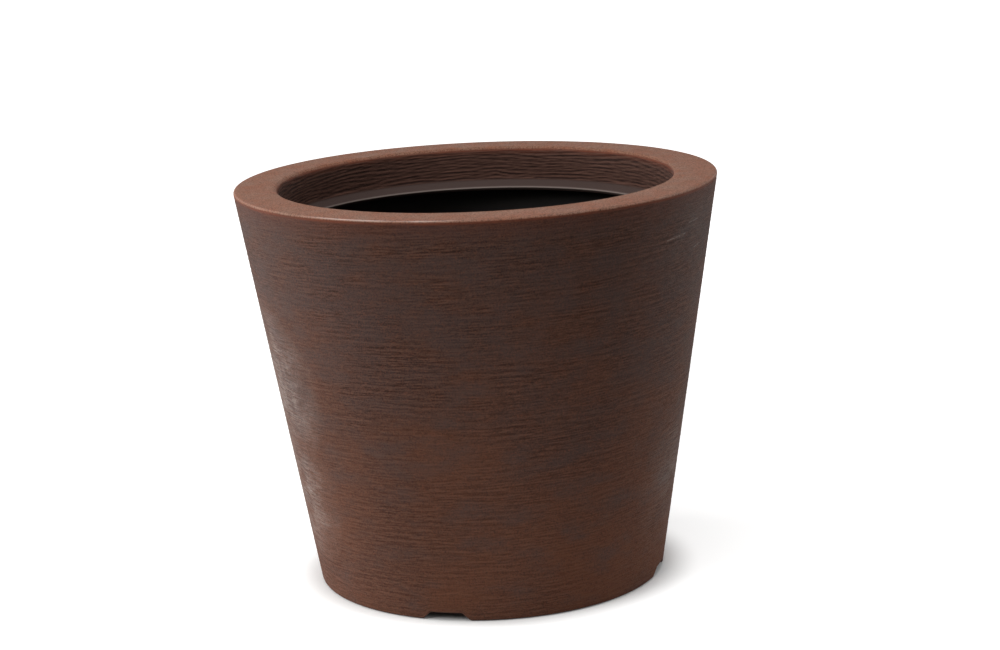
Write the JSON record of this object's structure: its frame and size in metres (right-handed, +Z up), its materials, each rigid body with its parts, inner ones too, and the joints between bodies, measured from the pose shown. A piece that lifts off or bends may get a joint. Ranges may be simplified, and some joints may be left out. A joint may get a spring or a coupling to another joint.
{
  "type": "planter",
  "caption": "Tapering round planter, a hollow moulding with a flat turned-in rim, a trimmed lip inside it, drain notches in its foot ring and push-in drain plugs.",
  "frame": {"origin": "middle of the underside, on the surface that the planter stands on", "axes": "+Z up along the planter's axis, +X and -Y through drain notches, -Y is the front"},
  "size_m": [0.4999, 0.5, 0.42],
  "materials": {
    "brushed_brown_shell": "matte rusty brown plastic with fine level brush lines moulded in",
    "plug_rubber": "black moulded rubber, satin"
  },
  "bodies": {
    "planter": {"planter_shell": "brushed_brown_shell"},
    "plug_front": {"drain_plug_front": "plug_rubber"},
    "plug_right": {"drain_plug_right": "plug_rubber"},
    "plug_back": {"drain_plug_back": "plug_rubber"},
    "plug_left": {"drain_plug_left": "plug_rubber"}
  },
  "joints": [
    {"name": "plug_front_pull", "type": "slide", "parent": "planter", "child": "plug_front", "axis": [0, 0, 1], "range_m": [0, 0.43]},
    {"name": "plug_right_pull", "type": "slide", "parent": "planter", "child": "plug_right", "axis": [0, 0, 1], "range_m": [0, 0.43]},
    {"name": "plug_back_pull", "type": "slide", "parent": "planter", "child": "plug_back", "axis": [0, 0, 1], "range_m": [0, 0.43]},
    {"name": "plug_left_pull", "type": "slide", "parent": "planter", "child": "plug_left", "axis": [0, 0, 1], "range_m": [0, 0.43]}
  ]
}
